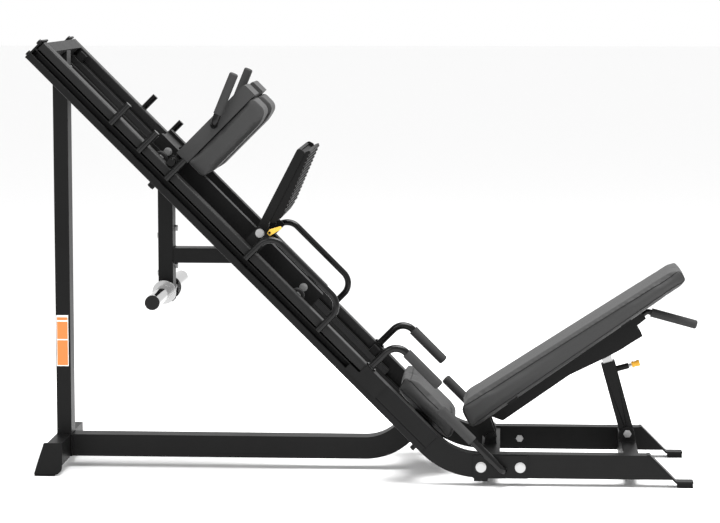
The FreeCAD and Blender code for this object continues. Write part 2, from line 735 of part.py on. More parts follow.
def weight_sleeve(side):
    x, z = value("horn_x"), value("horn_z")
    near, rim = value("post_wide / 2"), value("flange_y")
    name = "sleeve_%d" % side
    shaft = cross_rod(name + "_shaft", "sleeve_radius", x, z, side * near, side * value("sleeve_end"))
    flange = cross_rod(name + "_flange", "sleeve_flange", x, z, side * rim, side * (rim + 8))
    return fuse(name, [shaft, flange])


def sleeve_cap(side):
    end = value("sleeve_end")
    return cross_rod("cap_%d" % side, "sleeve_radius - 0.5", value("horn_x"), value("horn_z"), side * end,
                     side * (end + value("cap_long")))


node("weight_post", weight_post())
node("weight_arm", weight_arm())
mirrored_pair("weight_sleeves", weight_sleeve)
mirrored_pair("sleeve_caps", sleeve_cap)


# ---- shoulder pads, hack handles, lock pins -----------------------------------------------------

def pad_board(side):
    start, top = value("board_start"), value("board_top")
    y = side * value("pad_inner_y + pad_wide / 2")
    outline = [(start, value("side_top"), 2), (start + value("board_thick"), value("side_top")),
               (start + value("board_thick"), top), (start, top, 8)]
    name = "board_%d" % side
    board = plate(name, outline, "pad_wide", y)
    bore = cross_rod(name + "_bore", "hack_tube + running_gap", value("hack_s"), value("hack_n"),
                     y - 80, y + 80)
    return cut(name + "_bored", board, [bore])


def shoulder_pad(side):
    start, top, deep = value("board_start + board_thick"), value("pad_top"), value("pad_thick")
    y = side * value("pad_inner_y + pad_wide / 2")
    low = value("side_top") + 2
    outline = [(start, low, 8), (start + deep, low, 16), (start + deep, top, 30), (start, top, 10)]
    return plate("cushion_%d" % side, outline, "pad_wide", y, RAIL)


HACK_TOP = (516, 364)


def hack_handles():
    s, n, y, bend = value("hack_s"), value("hack_n"), value("hack_y"), 24
    points = [(HACK_TOP[0], -y, HACK_TOP[1] - 8), (s, -y, n, bend), (s, y, n, bend),
              (HACK_TOP[0], y, HACK_TOP[1] - 8)]
    return bent_rod("hack_bar", points, "hack_tube", RAIL)


def hack_grip(side):
    y = side * value("hack_y")
    foot = Vec(value("hack_s"), y, value("hack_n"))
    end = Vec(HACK_TOP[0], y, HACK_TOP[1] - 8)
    run = (end - foot).normalize()
    return sleeve_grip("hack_grip_%d" % side, tuple(foot + run * 40), tuple(end + run * 8), tuple(end),
                       "hack_grip", "hack_tube")


def lock_pin(side):
    return cross_rod("lock_pin_%d" % side, "handle_radius", *LOCK_PIN, side * 254, side * 299, RAIL)


mirrored_pair("pad_boards", pad_board, RAIL)
for word, side in SIDES.items():
    node(word + "_shoulder_pad", shoulder_pad(side))
    node(word + "_lock_pin", lock_pin(side))
node("hack_handles", hack_handles())
mirrored_pair("hack_grips", hack_grip, RAIL)


# ---- foot plate ---------------------------------------------------------------------------------

LEVER_PIVOT = (27, 14)
LEVER_PIN = 4


def foot_plate_frame():
    top, outer, thick = value("foot_plate_long"), value("arm_outer_y"), value("arm_thick")
    outline = [(-18.7, -14, 12), (14, -14, 12), (14, 30), (10, 40), (10, top, 10), (-18.7, top, 10)]
    pieces = []
    for side in BOTH:
        name = "foot_arm_%d" % side
        arm = plate(name, outline, "arm_thick", side * (outer - thick / 2))
        hole = cross_rod(name + "_hole", "axle_radius + running_gap", 0, 0, side * (outer - thick - 5),
                         side * (outer + 5))
        pieces.append(cut(name + "_bored", arm, [hole]))
    inner = outer - thick
    pieces.append(box("foot_back", (-18.7, -inner, 36), (-8.7, inner, top - 6)))
    for height in (60, 170, 280):
        pieces.append(box("foot_rib_%d" % height, (-8.7, -inner, height), (8, inner, height + 12)))
    lug = [(9.5, 4), (34, 4, 6), (34, 24, 6), (9.5, 24)]
    pieces.append(plate("lever_lug", lug, "plate_thick", -outer + 1))
    pieces.append(cross_rod("lever_stub", LEVER_PIN, *LEVER_PIVOT, -outer, -outer - 28))
    return fuse("foot_frame_steel", pieces, FOOT)


def foot_plate_tread():
    face = [(10, 304), (17, 312), (22, 313), (38, 104), (33, 60, 4), (22, 44), (14, 44), (27, 62), (31, 104),
            (21, 296), (10, 296)]
    gusset = [(10, 300), (17, 308), (21, 308), (35, 104), (30, 62), (20, 46), (10, 46)]
    half = value("arm_outer_y") - 5
    sheets = [plate("tread_face", face, "2 * arm_outer_y - 10", 0)]
    for side in BOTH:
        sheets.append(plate("tread_gusset_%d" % side, gusset, 4, side * (half - 2)))
    return fuse("tread_steel", sheets, FOOT)


def foot_plate_lever():
    """Latch lever beside the near arm, free on its stub."""
    outline = [(20, 8, 5), (32, 4, 5), (56, 43, 3), (50, 49, 3), (22, 22, 4)]
    y = -value("arm_outer_y") - 14
    blade = plate("lever_blade", outline, 20, y)
    bore = cross_rod("lever_bore", "%s + running_gap" % LEVER_PIN, *LEVER_PIVOT, y - 20, y + 20)
    return moved(cut("lever_steel", blade, [bore]), FOOT)


node("foot_plate_frame", foot_plate_frame())
node("foot_plate_tread", foot_plate_tread())
node("foot_plate_lever", foot_plate_lever())


# ---- seat ---------------------------------------------------------------------------------------

def seat_frame():
    base = "0 - lower_cross_top"
    sheet_metal = box("seat_sheet", (1655, -120, base), (1872, 120, "%s + seat_base" % base))
    ribs = [box("seat_rib_%d" % side, (1810, side * 100 - 4, -46), (1866, side * 100 + 4, base))
            for side in BOTH]
    return fuse("seat_steel", [sheet_metal] + ribs, RAIL)


def seat_pad():
    low = value("seat_base - lower_cross_top")
    outline = [(1642, low, 8), (1624, 40, 12), (1650, 50, 20), (1852, 50, 30), (1880, 12, 24), (1874, low, 8)]
    return plate("seat_cushion", outline, "2 * seat_half", 0, RAIL)


def lug_outline(x, base, z, radius):
    """Upright lug with a round head about a pivot."""
    return [(x - radius - 6, base), (x + radius + 6, base), (x + radius, z + radius, radius - 0.5),
            (x - radius, z + radius, radius - 0.5)]


def seat_crossmember():
    reach = value("stab_inner_y")
    x, z = value("hinge_x"), value("hinge_z")
    tube = box_tube("seat_tube", (392, -reach, 46), (452, reach, 100), "y")
    lugs = [plate("seat_lug_%d" % side, lug_outline(x, 100, z, 15), 8, side * 64) for side in BOTH]
    steel = fuse("seat_cross_raw", [tube] + lugs)
    return cut("seat_cross_steel", steel, [cross_rod("seat_lug_bore", "axle_radius", x, z, -80, 80)])


def strut_crossmember():
    reach = value("stab_inner_y")
    x, z = value("strut_foot_x"), value("strut_foot_z")
    tube = box_tube("strut_tube_low", (x - 22, -reach, 30), (x + 28, reach, 104), "y")
    ears = [plate("strut_ear_%d" % side, lug_outline(x, 104, z, 22), 6, side * 28) for side in BOTH]
    steel = fuse("strut_cross_raw", [tube] + ears)
    return cut("strut_cross_steel", steel, [cross_rod("strut_ear_bore", "axle_radius", x, z, -50, 50)])


def pivot_pins():
    pins = []
    for word, x, z, half in (("hinge", value("hinge_x"), value("hinge_z"), 68),
                             ("strut", value("strut_foot_x"), value("strut_foot_z"), 31)):
        shaft = cross_rod(word + "_pin_shaft", "axle_radius", x, z, -half, half)
        heads = [hexagon("%s_pin_head_%d" % (word, side), 14, 7, (x, side * half, z), (0, side, 0))
                 for side in BOTH]
        pins.append(fuse(word + "_pin", [shaft] + heads))
    return group("pin_set", pins)


def frame_bolts():
    """Bright bolts through the splice plates and stabilisers, and the rear post's nut."""
    bolts = []
    for side in BOTH:
        outer = side * value("stab_inner_y + stab_wide + plate_thick")
        inner = side * value("stab_inner_y")
        for x in (391, 520):
            name = "bolt_%d_%d" % (side + 1, x)
            bolts.append(rod(name + "_head", 14, 6, (x, outer, 63), (0, side, 0)))
        bolts.append(hexagon("bolt_nut_%d" % side, 13, 7, (520, inner, 63), (0, -side, 0)))
    right = value("post_left + post_thick")
    bolts.append(hexagon("post_nut", 10, 9, (right, 0, 1360), (1, 0, 0)))
    return group("frame_bolt_set", bolts)


node("seat_frame", seat_frame())
node("seat_pad", seat_pad())
node("seat_crossmember", seat_crossmember())
node("strut_crossmember", strut_crossmember())
node("pivot_pins", pivot_pins())
node("frame_bolts", frame_bolts())


# ---- backrest and strut -------------------------------------------------------------------------

def back_point(x, z):
    """Point of the row frame in the backrest frame."""
    point = BACK.inverse().multVec(Vec(x, 0, z))
    return point.x, point.z


BACK_TOP = 878
CHANNEL_END = 690
PAD_BASE = -4


def backrest_frame():
    hinge = back_point(value("hinge_x"), value("hinge_z"))
    head = back_point(value("strut_head_x"), value("strut_head_z"))
    pieces = [box("back_spine", (20, -31, -22), (CHANNEL_END, 31, PAD_BASE)),
              box("back_end", (CHANNEL_END - 16, -31, -46), (CHANNEL_END, 31, -22)),
              box("back_strap_low", (10, -58, -14), (70, 58, PAD_BASE))]
    for x in (150, 610):
        pieces.append(box("back_strap_%d" % x, (x, -115, -12), (x + 40, 115, PAD_BASE)))
    cheek = [(72, -22), (96, -56, 10), (370, -56, 40), (508, -78, 20), (560, -84, 8), (618, -86, 6), (648, -88, 4),
             (652, -48), (CHANNEL_END, -46, 8), (CHANNEL_END, -22)]
    lug = [(8, -10), (72, -10), (hinge[0] + 16, hinge[1] - 15, 14), (hinge[0] - 16, hinge[1] - 15, 14)]
    for side in BOTH:
        pieces.append(plate("back_cheek_%d" % side, cheek, 4, side * 29))
        pieces.append(plate("back_lug_%d" % side, lug, 8, side * 54))
    steel = fuse("back_steel_raw", pieces)
    holes = [cross_rod("back_hinge_bore", "axle_radius + running_gap", hinge[0], hinge[1], -80, 80),
             cross_rod("back_head_bore", 11, head[0], head[1], -29.6, 29.6)]
    return moved(cut("back_steel", steel, holes), BACK)


def backrest_pad():
    outline = [(2, PAD_BASE, 10), (BACK_TOP, PAD_BASE, 8), (BACK_TOP + 4, 39, 16), (12, 78, 26)]
    return plate("back_cushion", outline, "2 * back_half", 0, BACK)


def rear_handle():
    start = BACK.multVec(Vec(CHANNEL_END, 0, -32))
    elbow, tip = BACK.multVec(Vec(CHANNEL_END + 17, 0, -32)), Vec(1108, 0, 502)
    bar_steel = bent_rod("rear_bar", [tuple(start), tuple(elbow) + (13,), tuple(tip)], 9.5)
    run = (tip - elbow).normalize()
    grip = sleeve_grip("rear_grip", tuple(elbow + run * 14), tuple(tip + run * 5), tuple(tip), 15, 9.5)
    return group("rear_handle_set", [bar_steel, grip])


def strut_tube():
    half, bore, top = value("strut_half"), value("strut_bore_half"), value("strut_top")
    pin = value("pin_height")
    outline = [(-half, -22, 20), (half, -22, 20), (half, top), (-half, top)]
    outer = plate("strut_outer", outline, "2 * strut_half", 0)
    housing = rod("strut_housing", 10, 42, (half - 1, 0, pin), (1, 0, 0))
    steel = fuse("strut_raw", [outer, housing])
    holes = [box("strut_hollow", (-bore, -bore, 30), (bore, bore, top + 5)),
             cross_rod("strut_foot_bore", "axle_radius + running_gap", 0, 0, -40, 40),
             rod("strut_pin_bore", 5.05, 80, (0, 0, pin), (1, 0, 0))]
    return moved(cut("strut_steel", steel, holes), STRUT)


def strut_inner_tube():
    half = value("strut_inner_half")
    outline = [(-half, 60), (half, 60), (half, STRUT_LONG + 15, 14), (-half, STRUT_LONG + 15, 14)]
    tube = plate("inner_strut_outline", outline, "2 * strut_inner_half", 0)
    pin = cross_rod("inner_strut_pin", "axle_radius", 0, STRUT_LONG, -28.6, 28.6)
    return fuse("inner_strut_steel", [tube, pin], STRUT)


def pop_pin():
    pin = value("pin_height")
    shaft = rod("pop_shaft", 5, 60, (19, 0, pin), (1, 0, 0))
    collar = rod("pop_collar", 8, 9, (66, 0, pin), (1, 0, 0))
    knob = rod("pop_knob", 11.5, 28, (75, 0, pin), (1, 0, 0))
    return fuse("pop_steel", [shaft, collar, knob], STRUT)


node("backrest_frame", backrest_frame())
node("backrest_pad", backrest_pad())
node("rear_handle", rear_handle())
node("strut_tube", strut_tube())
node("strut_inner_tube", strut_inner_tube())
node("pop_pin", pop_pin())


# ---- check and write ----------------------------------------------------------------------------

doc.recompute()
for thing in doc.Objects:
    if "Invalid" in thing.State or "Error" in thing.State:
        raise RuntimeError("failed feature: %s" % thing.Name)
os.makedirs("parts", exist_ok=True)
for name, thing in made.items():
    shape = thing.Shape
    if shape.isNull() or not shape.isValid() or not shape.Solids:
        raise RuntimeError("bad shape: %s" % name)
    shape.exportStep("parts/%s.step" % name)
print("%d sub-parts written" % len(made))
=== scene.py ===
"""Looks of the leg press and hack squat machine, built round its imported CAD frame."""
import math

import bmesh
import bpy
from mathutils import Matrix, Vector
from mathutils.bvhtree import BVHTree


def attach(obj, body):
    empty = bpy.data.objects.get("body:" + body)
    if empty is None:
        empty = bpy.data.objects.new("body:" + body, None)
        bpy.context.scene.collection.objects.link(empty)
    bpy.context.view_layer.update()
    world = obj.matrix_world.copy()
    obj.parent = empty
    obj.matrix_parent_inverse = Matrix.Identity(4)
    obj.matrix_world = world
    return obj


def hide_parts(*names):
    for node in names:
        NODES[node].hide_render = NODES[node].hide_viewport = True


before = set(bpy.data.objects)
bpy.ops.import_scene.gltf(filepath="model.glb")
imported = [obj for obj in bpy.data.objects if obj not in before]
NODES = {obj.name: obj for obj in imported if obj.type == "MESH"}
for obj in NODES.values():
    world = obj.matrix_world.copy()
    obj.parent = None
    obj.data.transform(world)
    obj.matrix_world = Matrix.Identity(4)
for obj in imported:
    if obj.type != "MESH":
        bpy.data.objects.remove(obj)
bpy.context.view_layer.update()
MM = 0.001
SIDES = {"left": -1, "right": 1}


# ---- frames -------------------------------------------------------------------------------------

def frame_at(x, z, degrees):
    """Matrix of a frame turned about +Y, its origin in millimetres."""
    return Matrix.Translation((x * MM, 0, z * MM)) @ Matrix.Rotation(math.radians(degrees), 4, "Y")


ROW = Matrix.Identity(4)
RAIL = frame_at(-1044, 1458, 45)
FOOT = frame_at(-341.14, 827.31, 27.3)
BACK = frame_at(351, 162, -35.4)
STRUT = frame_at(882, 132, -15.634)

ROLLERS = (("upper", 536), ("lower", 1175))
ROLLER_HEIGHT = -10
ROLLER_INNER, ROLLER_OUTER = 212, 241
FOOT_HINGE = (943, 51)
BRACKET_FACE = 249
MEMBER_FACE = 132
MEMBER_BOLTS = (534, 1174)
MEMBER_BOLT_HEIGHT = 10
MEMBER_WELD = 91.5
POP_PIN_HEIGHT = 219
SPLICE_FACE = 301
SPLICE_BOLTS = (391, 520)
POST_SIDE = -37.5
CLOTH_FRAMES = 20
COVER_RISE = 7
BOX_MARGIN = 3
CREASE = 38


def spot(where, x, y, z):
    """Row-frame point of a local point in millimetres."""
    return where @ Vector((x * MM, y * MM, z * MM))


# ---- materials ----------------------------------------------------------------------------------

def linear(grey_or_colour):
    """Linear colour of a display colour written 0 to 255."""
    parts = grey_or_colour if isinstance(grey_or_colour, tuple) else (grey_or_colour,) * 3
    done = []
    for part in parts:
        part = part / 255
        done.append(part / 12.92 if part <= 0.04045 else ((part + 0.055) / 1.055) ** 2.4)
    return tuple(done) + (1.0,)


def material(name, colour, roughness, metallic=0.0, specular=0.5, coat=0.0, grain=0.0, grain_size=900,
             mottle=0.0, wear=0.0):
    """Principled surface with a fine grain in its normals and a faint mottle in its colour and gloss."""
    made = bpy.data.materials.new(name)
    made.use_nodes = True
    tree = made.node_tree
    shader = tree.nodes["Principled BSDF"]
    base = linear(colour)
    shader.inputs["Base Color"].default_value = base
    shader.inputs["Roughness"].default_value = roughness
    shader.inputs["Metallic"].default_value = metallic
    shader.inputs["Specular IOR Level"].default_value = specular
    shader.inputs["Coat Weight"].default_value = coat
    shader.inputs["Coat Roughness"].default_value = 0.15
    where = tree.nodes.new("ShaderNodeTexCoord")
    if grain:
        noise = tree.nodes.new("ShaderNodeTexNoise")
        noise.inputs["Scale"].default_value = grain_size
        noise.inputs["Detail"].default_value = 3
        tree.links.new(where.outputs["Object"], noise.inputs["Vector"])
        bump = tree.nodes.new("ShaderNodeBump")
        bump.inputs["Strength"].default_value = grain
        bump.inputs["Distance"].default_value = 0.0005
        tree.links.new(noise.outputs["Fac"], bump.inputs["Height"])
        tree.links.new(bump.outputs["Normal"], shader.inputs["Normal"])
    if mottle:
        cloud = tree.nodes.new("ShaderNodeTexNoise")
        cloud.inputs["Scale"].default_value = 14
        cloud.inputs["Detail"].default_value = 5
        tree.links.new(where.outputs["Object"], cloud.inputs["Vector"])
        shade = tree.nodes.new("ShaderNodeMix")
        shade.data_type = "RGBA"
        shade.inputs["A"].default_value = tuple(channel * (1 - mottle) for channel in base[:3]) + (1,)
        shade.inputs["B"].default_value = tuple(channel * (1 + mottle) for channel in base[:3]) + (1,)
        tree.links.new(cloud.outputs["Fac"], shade.inputs["Factor"])
        tree.links.new(shade.outputs["Result"], shader.inputs["Base Color"])
        gloss = tree.nodes.new("ShaderNodeMapRange")
        gloss.inputs["To Min"].default_value = max(0.02, roughness * (1 - wear))
        gloss.inputs["To Max"].default_value = min(1, roughness * (1 + wear))
        tree.links.new(cloud.outputs["Fac"], gloss.inputs["Value"])
        tree.links.new(gloss.outputs["Result"], shader.inputs["Roughness"])
    return made


PAINT = material("satin black powder coat", 15, 0.42, specular=0.12, grain=0.12, grain_size=1100, mottle=0.25,
                 wear=0.12)
GUARD = material("satin dark grey powder coat", 22, 0.38, specular=0.16, grain=0.12, grain_size=1100,
                 mottle=0.2, wear=0.12)
GLOSS = material("gloss black enamel", 8, 0.2, specular=0.2, coat=0.05, mottle=0.15, wear=0.15)
GRIP = material("dark grey foam rubber", 50, 0.75, specular=0.15, grain=0.35, grain_size=1500, mottle=0.12,
                wear=0.08)
RUBBER = material("black rubber", 16, 0.8, specular=0.12, grain=0.3, grain_size=700, mottle=0.2, wear=0.1)
VINYL = material("dark grey upholstery vinyl", 50, 0.5, specular=0.2, grain=0.45, grain_size=750, mottle=0.08,
                 wear=0.1)
WELT = material("upholstery welt", 28, 0.55, specular=0.15, grain=0.2, grain_size=900, mottle=0.08, wear=0.1)
ZINC = material("bright zinc", 165, 0.34, metallic=1.0, grain=0.08, grain_size=500, mottle=0.06, wear=0.25)
CHROME = material("polished chrome", 175, 0.1, metallic=1.0, mottle=0.03, wear=0.3)
PLASTIC = material("matte black plastic", 20, 0.55, specular=0.14, grain=0.2, grain_size=1000, mottle=0.15,
                   wear=0.1)
TREAD = material("black tread steel", 14, 0.5, specular=0.12, grain=0.25, grain_size=800, mottle=0.25,
                 wear=0.15)
YELLOW = material("yellow plastic", (228, 184, 74), 0.4, specular=0.3, coat=0.05, mottle=0.04, wear=0.1)
AMBER = material("amber plastic", (222, 164, 48), 0.4, specular=0.4, mottle=0.05, wear=0.1)
ORANGE = material("orange label film", (226, 120, 52), 0.45, mottle=0.03, wear=0.1)
WHITE = material("white label film", (236, 236, 234), 0.45, mottle=0.02, wear=0.1)
FLOOR = material("pale studio floor", 250, 0.9, specular=0.1, mottle=0.01, wear=0.02)

COVERED = {
    GUARD: ("left_guard_tube", "right_guard_tube", "roller_tracks"),
    GLOSS: ("stop_pegs", "guard_bars", "seat_handles", "left_lockout_handle", "right_lockout_handle",
            "hack_handles", "rear_handle", "left_lock_pin", "right_lock_pin"),
    GRIP: ("seat_handle_grips", "left_lockout_grip", "right_lockout_grip", "hack_grips"),
    RUBBER: ("rubber_feet", "rail_bumpers", "track_wipers"),
    ZINC: ("frame_bolts", "carriage_bolts", "pivot_pins", "strut_inner_tube", "pop_pin"),
    CHROME: ("weight_sleeves",),
    PLASTIC: ("sleeve_caps", "left_upper_roller", "right_upper_roller", "left_lower_roller",
              "right_lower_roller"),
    VINYL: ("seat_pad", "backrest_pad", "left_shoulder_pad", "right_shoulder_pad", "pad_boards"),
    TREAD: ("foot_plate_tread", "foot_plate_frame"),
    YELLOW: ("foot_plate_lever",),
}
SURFACE = {node: surface for surface, nodes in COVERED.items() for node in nodes}
EASED = {"frame_bolts": 2.2, "carriage_bolts": 1.5, "weight_sleeves": 1.2, "pop_pin": 1.2, "sleeve_caps": 2.5,
         "pad_boards": 5}
CUSHIONS = ("seat_pad", "backrest_pad", "left_shoulder_pad", "right_shoulder_pad")


def soften(thing, width):
    """Eased edges and smooth curves without moving the node's own vertices."""
    weld = thing.modifiers.new("joined", "WELD")
    weld.merge_threshold = 0.00002
    ease = thing.modifiers.new("eased", "BEVEL")
    ease.width = width * MM
    ease.segments = 2
    ease.limit_method = "ANGLE"
    ease.angle_limit = math.radians(CREASE)
    ease.harden_normals = False
    thing.data.shade_smooth()
    smooth = thing.modifiers.new("weighted", "WEIGHTED_NORMAL")
    smooth.keep_sharp = True


for name, thing in NODES.items():
    thing.data.materials.clear()
    thing.data.materials.append(SURFACE.get(name, PAINT))
    if name not in CUSHIONS:
        soften(thing, EASED.get(name, 1.0))


def repaint(name, surface, test):
    """Give the faces of a CAD node whose centre passes the test another material."""
    thing = NODES[name]
    thing.data.materials.append(surface)
    slot = len(thing.data.materials) - 1
    for face in thing.data.polygons:
        if test(face.center):
            face.material_index = slot


# ---- pieces -------------------------------------------------------------------------------------

def add(name, mesh, surface, body, smooth=True):
    """A new piece on a body, with the given material."""
    thing = bpy.data.objects.new(name, mesh)
    bpy.context.scene.collection.objects.link(thing)
    mesh.materials.append(surface)
    if smooth:
        mesh.shade_smooth()
    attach(thing, body)
    return thing


def mesh_of(name, build):
    mesh = bpy.data.meshes.new(name)
    work = bmesh.new()
    build(work)
    work.to_mesh(mesh)
    work.free()
    return mesh


def box_in(work, where, low, high):
    """A box between two local corners in millimetres."""
    middle = [(a + b) / 2 for a, b in zip(low, high)]
    size = [abs(b - a) * MM for a, b in zip(low, high)]
    matrix = where @ Matrix.Translation(Vector(middle) * MM) @ Matrix.Diagonal((*size, 1))
    bmesh.ops.create_cube(work, size=1, matrix=matrix)


def rod_in(work, start, end, radius, segments=32, tip=None):
    """A round rod or cone between two row-frame points; radii in millimetres."""
    run = end - start
    turn = Vector((0, 0, 1)).rotation_difference(run).to_matrix().to_4x4()
    matrix = Matrix.Translation((start + end) / 2) @ turn
    bmesh.ops.create_cone(work, cap_ends=True, segments=segments, radius1=radius * MM,
                          radius2=(radius if tip is None else tip) * MM, depth=run.length, matrix=matrix)


def ring_in(work, centre, axis, major, minor, segments=40):
    """A torus about an axis, such as a weld bead or a groove's lip."""
    turn = Vector((0, 0, 1)).rotation_difference(axis).to_matrix().to_4x4()
    matrix = Matrix.Translation(centre) @ turn
    rings = []
    for i in range(segments):
        angle = 2 * math.pi * i / segments
        ring = []
        for k in range(8):
            around = 2 * math.pi * k / 8
            reach = (major + minor * math.cos(around)) * MM
            point = Vector((reach * math.cos(angle), reach * math.sin(angle), minor * MM * math.sin(around)))
            ring.append(work.verts.new(matrix @ point))
        rings.append(ring)
    for i, ring in enumerate(rings):
        after = rings[(i + 1) % segments]
        for k in range(8):
            work.faces.new((ring[k], after[k], after[(k + 1) % 8], ring[(k + 1) % 8]))


def bead(work, points, radius):
    """An uneven weld bead along row-frame points."""
    for start, end in zip(points, points[1:]):
        run = end - start
        count = max(2, int(run.length / (2.2 * radius * MM)))
        for i in range(count):
            middle = start + run * ((i + 0.5) / count)
            size = Matrix.Diagonal((radius * MM, radius * MM, radius * MM, 1))
            bmesh.ops.create_icosphere(work, subdivisions=1, radius=1,
                                       matrix=Matrix.Translation(middle) @ size)


# ---- cushions -----------------------------------------------------------------------------------

def only(thing):
    bpy.ops.object.select_all(action="DESELECT")
    thing.select_set(True)
    bpy.context.view_layer.objects.active = thing


def apply_all(thing):
    only(thing)
    bpy.ops.object.convert(target="MESH")


def cushion(node, body, soft, grid, pressure):
    """Foam pad under vinyl: the CAD pad's edges are rounded, then the cover is blown up a little as cloth."""
    thing = bpy.data.objects.new(node + "_cushion", NODES[node].data.copy())
    bpy.context.scene.collection.objects.link(thing)
    rest = NODES[node].data
    weld = thing.modifiers.new("joined", "WELD")
    weld.merge_threshold = 0.00002
    ease = thing.modifiers.new("eased", "BEVEL")
    ease.width = soft * MM
    ease.segments = 4
    ease.limit_method = "ANGLE"
    ease.angle_limit = math.radians(CREASE)
    remesh = thing.modifiers.new("grid", "REMESH")
    remesh.mode = "VOXEL"
    remesh.voxel_size = grid * MM
    apply_all(thing)
    lowest = [min(vertex.co[i] for vertex in rest.vertices) for i in range(3)]
    highest = [max(vertex.co[i] for vertex in rest.vertices) for i in range(3)]
    cloth = thing.modifiers.new("cover", "CLOTH")
    settings = cloth.settings
    settings.quality = 5
    settings.mass = 0.4
    settings.tension_stiffness = 60
    settings.compression_stiffness = 60
    settings.shear_stiffness = 30
    settings.bending_stiffness = 4
    settings.tension_damping = 20
    settings.use_pressure = True
    settings.uniform_pressure_force = pressure
    settings.effector_weights.gravity = 0
    cloth.collision_settings.use_collision = False
    cloth.point_cache.frame_start = 1
    cloth.point_cache.frame_end = CLOTH_FRAMES
    for step in range(1, CLOTH_FRAMES + 1):
        bpy.context.scene.frame_set(step)
    before = [vertex.co.copy() for vertex in thing.data.vertices]
    apply_all(thing)
    cap = COVER_RISE * MM
    for vertex, old in zip(thing.data.vertices, before):
        move = vertex.co - old
        if move.length > cap:
            vertex.co = old + move * (cap / move.length)
        for i in range(3):
            low, high = lowest[i] - BOX_MARGIN * MM, highest[i] + BOX_MARGIN * MM
            vertex.co[i] = min(max(vertex.co[i], low), high)
    bpy.context.scene.frame_set(1)
    relax = thing.modifiers.new("relaxed", "SMOOTH")
    relax.factor = 0.5
    relax.iterations = 4
    refine = thing.modifiers.new("fine", "SUBSURF")
    refine.levels = 1
    refine.render_levels = 1
    apply_all(thing)
    thing.data.materials.clear()
    thing.data.materials.append(VINYL)
    thing.data.shade_smooth()
    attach(thing, body)
    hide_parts(node)
    return thing


def seam(pad, name, where, loops, body, radius=1.5):
    """A sewn welt: each loop of local points is laid on the pad's cover and given a thin round section."""
    tree = BVHTree.FromObject(pad, bpy.context.evaluated_depsgraph_get())
    inverse = pad.matrix_world.inverted()

    def build(work):
        for loop, closed in loops:
            points = [spot(where, *point) for point in loop]
            fine = []
            pairs = list(zip(points, points[1:] + points[:1])) if closed else list(zip(points, points[1:]))
            for start, end in pairs:
                count = max(1, int((end - start).length / 0.006))
                fine.extend(start.lerp(end, i / count) for i in range(count))
            if not closed:
                fine.append(points[-1])
            laid = []
            for point in fine:
                found, normal, _, _ = tree.find_nearest(inverse @ point)
                laid.append((pad.matrix_world @ found, normal))
            rings = []
            for i, (point, normal) in enumerate(laid):
                after = laid[(i + 1) % len(laid)][0] if closed or i + 1 < len(laid) else point
                before = laid[i - 1][0] if closed or i > 0 else point
                ahead = (after - before).normalized()
                side = ahead.cross(normal).normalized()
                ring = []
                for k in range(8):
                    around = math.pi * 2 * k / 8
                    offset = side * math.cos(around) + normal * (math.sin(around) + 0.1)
                    ring.append(work.verts.new(point + offset * radius * MM))
                rings.append(ring)
            last = len(rings) if closed else len(rings) - 1
            for i in range(last):
                after = rings[(i + 1) % len(rings)]
                for k in range(8):
                    work.faces.new((rings[i][k], after[k], after[(k + 1) % 8], rings[i][(k + 1) % 8]))

    return add(name, mesh_of(name, build), WELT, body)


def rim_loop(y, points):
    return ([(point[0], y, point[1]) for point in points], True)


seat = cushion("seat_pad", "frame", 14, 6, 3.0)
back = cushion("backrest_pad", "backrest", 16, 6, 3.0)
SEAT_RIM = [(1634, 6), (1630, 36), (1652, 44), (1850, 44), (1868, 14), (1868, 0), (1660, 0)]
seam(seat, "seat_pad_seams", RAIL, [rim_loop(sign * 146, SEAT_RIM) for sign in (-1, 1)] +
     [([(1644, y, 52) for y in range(-140, 141, 20)], False)], "frame")
BACK_RIM = [(10, 4), (872, 0), (876, 36), (22, 72)]
seam(back, "backrest_pad_seams", BACK, [rim_loop(sign * 128, BACK_RIM) for sign in (-1, 1)], "backrest")
for word in SIDES:
    cushion(word + "_shoulder_pad", "carriage", 12, 5, 3.0)


# ---- foot plate ---------------------------------------------------------------------------------

def tread_ribs(work):
    """Gripping bars across the foot plate, one every 15 mm up both slopes."""
    for low, high, count in (((38, 104), (22, 313), 15), ((33.6, 66), (37.6, 98), 3)):
        run = Vector((high[0] - low[0], 0, high[1] - low[1]))
        lean = math.atan2(run.x, run.z)
        for i in range(count):
            along = (i + 0.5) / count
            middle = Vector((low[0] + run.x * along, 0, low[1] + run.z * along))
            here = FOOT @ Matrix.Translation(middle * MM) @ Matrix.Rotation(lean, 4, "Y")
            for cell in range(10):
                y = -200 + 40 * cell
                box_in(work, here, (-1.5, y + 2, -3.2), (3.2, y + 38, 3.2))


add("foot_plate_ribs", mesh_of("foot_plate_ribs", tread_ribs), TREAD, "foot_plate", False)


# ---- rollers, pins and knobs --------------------------------------------------------------------

for word, side in SIDES.items():
    for end, s in ROLLERS:
        def hub(work):
            """Plain rings on both faces of a roller."""
            inner = side * ROLLER_INNER
            outer = side * ROLLER_OUTER
            for start, finish in ((inner, inner - side * 1.0), (outer, outer + side * 1.0)):
                ring_in(work, spot(RAIL, s, start, ROLLER_HEIGHT), Vector((0, 1, 0)), 12, 2)
                ring_in(work, spot(RAIL, s, start, ROLLER_HEIGHT), Vector((0, 1, 0)), 18, 1)
        name = "%s_%s_roller_hub" % (word, end)
        add(name, mesh_of(name, hub), PLASTIC, "%s_%s_wheel" % (word, end))


def pop_knob(work):
    """Round knob with a waist and a domed end on the spring pin."""
    steps = [(75, 8), (76, 11), (80, 11.4), (84, 9.6), (90, 9.4), (96, 11.3), (100, 11.4), (103, 8.5)]
    for (near, r_near), (far, r_far) in zip(steps, steps[1:]):
        rod_in(work, spot(STRUT, near, 0, POP_PIN_HEIGHT), spot(STRUT, far, 0, POP_PIN_HEIGHT),
               r_near, 40, r_far)


